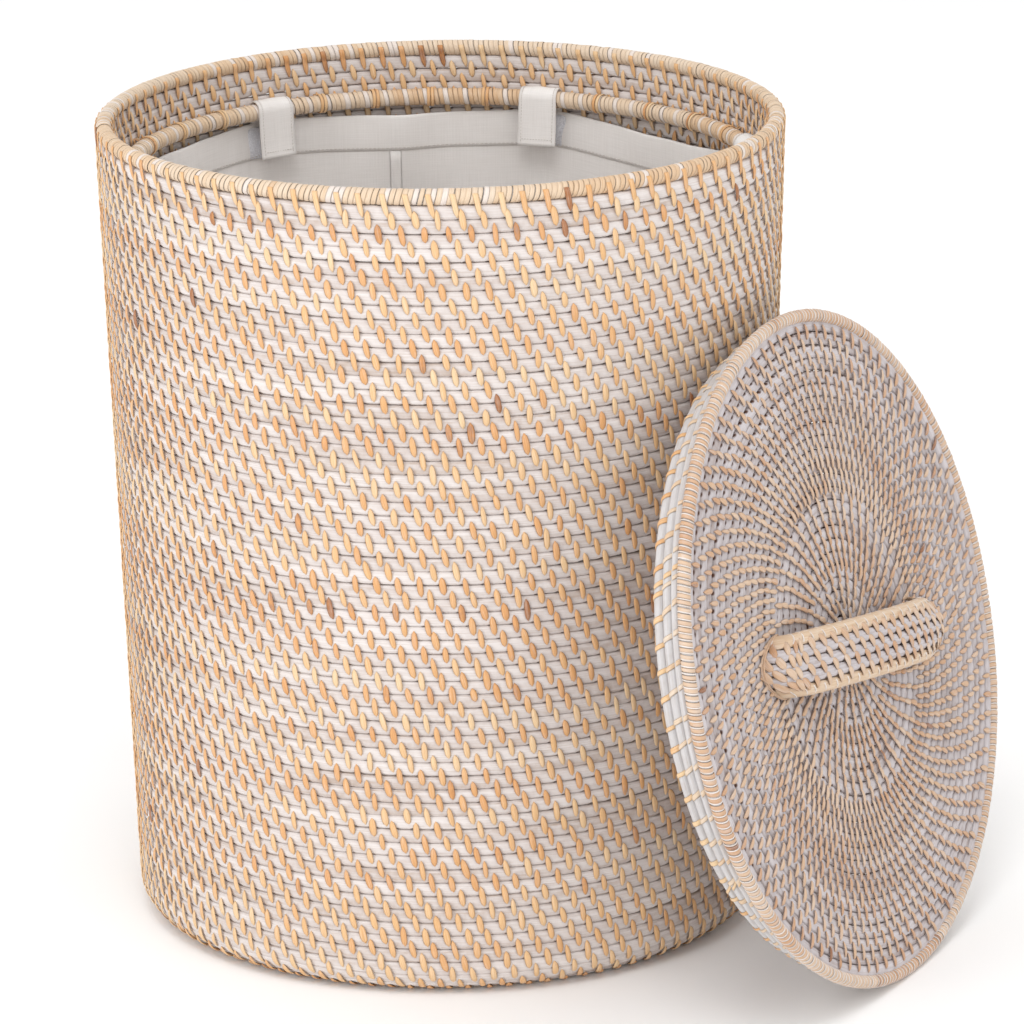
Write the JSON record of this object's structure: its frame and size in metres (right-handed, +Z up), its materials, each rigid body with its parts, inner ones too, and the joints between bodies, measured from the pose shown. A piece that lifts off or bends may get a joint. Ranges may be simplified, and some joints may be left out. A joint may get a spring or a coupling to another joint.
{
  "type": "lidded laundry hamper",
  "caption": "Round lidded laundry hamper in coiled rattan with a wrapped rim, an inner ledge ring, a tabbed cotton liner and a lift-off lid with an arched handle.",
  "frame": {"origin": "centre of the basket's floor face", "axes": "+Z up along the basket's axis, +X towards the leaning lid"},
  "size_m": [0.5545, 0.439, 0.52],
  "materials": {
    "rattan_core": "whitewashed rattan core with fine grain, matt",
    "cane": "natural honey cane strip, low sheen",
    "cotton": "undyed plain-weave cotton",
    "hook_and_loop": "white hook-and-loop tape"
  },
  "bodies": {
    "basket": {"base_coil": "rattan_core", "ledge_binding": "cane", "ledge_hoop": "rattan_core", "ledge_lashings": "cane", "liner_bag": "cotton", "liner_base": "cotton", "liner_hem": "cotton", "loop_pad_1": "hook_and_loop", "loop_pad_2": "hook_and_loop", "loop_pad_3": "hook_and_loop", "loop_pad_4": "hook_and_loop", "loop_pad_5": "hook_and_loop", "loop_pad_6": "hook_and_loop", "rim_binding": "cane", "rim_hoop": "rattan_core", "tab_strap_1": "cotton", "tab_strap_2": "cotton", "tab_strap_3": "cotton", "tab_strap_4": "cotton", "tab_strap_5": "cotton", "tab_strap_6": "cotton", "wall_coil": "rattan_core"},
    "lid": {"handle_collar_1": "cane", "handle_collar_2": "cane", "handle_rod_1": "rattan_core", "handle_rod_2": "rattan_core", "handle_rod_3": "rattan_core", "handle_rod_4": "rattan_core", "handle_rod_5": "rattan_core", "handle_weave": "cane", "lid_coil": "rattan_core", "lid_edge_binding": "cane", "lid_edge_hoop": "rattan_core", "lid_skirt_rod_1": "rattan_core", "lid_skirt_rod_2": "rattan_core", "lid_skirt_rod_3": "rattan_core", "lid_skirt_ties": "cane"},
    "tab_1": {"tab_flap_1": "cotton", "hook_pad_1": "hook_and_loop"},
    "tab_2": {"tab_flap_2": "cotton", "hook_pad_2": "hook_and_loop"},
    "tab_3": {"tab_flap_3": "cotton", "hook_pad_3": "hook_and_loop"},
    "tab_4": {"tab_flap_4": "cotton", "hook_pad_4": "hook_and_loop"},
    "tab_5": {"tab_flap_5": "cotton", "hook_pad_5": "hook_and_loop"},
    "tab_6": {"tab_flap_6": "cotton", "hook_pad_6": "hook_and_loop"}
  },
  "joints": [
    {"name": "lid_lift", "type": "slide", "parent": "basket", "child": "lid", "axis": [0.9732, 0, 0.23], "range_m": [0, 0.3]},
    {"name": "tab_peel_1", "type": "hinge", "parent": "basket", "child": "tab_1", "pos_m": [-0.02909, 0.19012, 0.4845], "axis": [-0.9885, -0.1513, 0], "range_deg": [0, 120]},
    {"name": "tab_peel_2", "type": "hinge", "parent": "basket", "child": "tab_2", "pos_m": [-0.17029, 0.08941, 0.4845], "axis": [-0.4648, -0.8854, 0], "range_deg": [0, 120]},
    {"name": "tab_peel_3", "type": "hinge", "parent": "basket", "child": "tab_3", "pos_m": [-0.16024, -0.10638, 0.4845], "axis": [0.5531, -0.8331, 0], "range_deg": [0, 120]},
    {"name": "tab_peel_4", "type": "hinge", "parent": "basket", "child": "tab_4", "pos_m": [0.0163, -0.19165, 0.4845], "axis": [0.9964, 0.0847, 0], "range_deg": [0, 120]},
    {"name": "tab_peel_5", "type": "hinge", "parent": "basket", "child": "tab_5", "pos_m": [0.1759, -0.0778, 0.4845], "axis": [0.4045, 0.9145, 0], "range_deg": [0, 120]},
    {"name": "tab_peel_6", "type": "hinge", "parent": "basket", "child": "tab_6", "pos_m": [0.15275, 0.11687, 0.4845], "axis": [-0.6077, 0.7942, 0], "range_deg": [0, 120]}
  ]
}
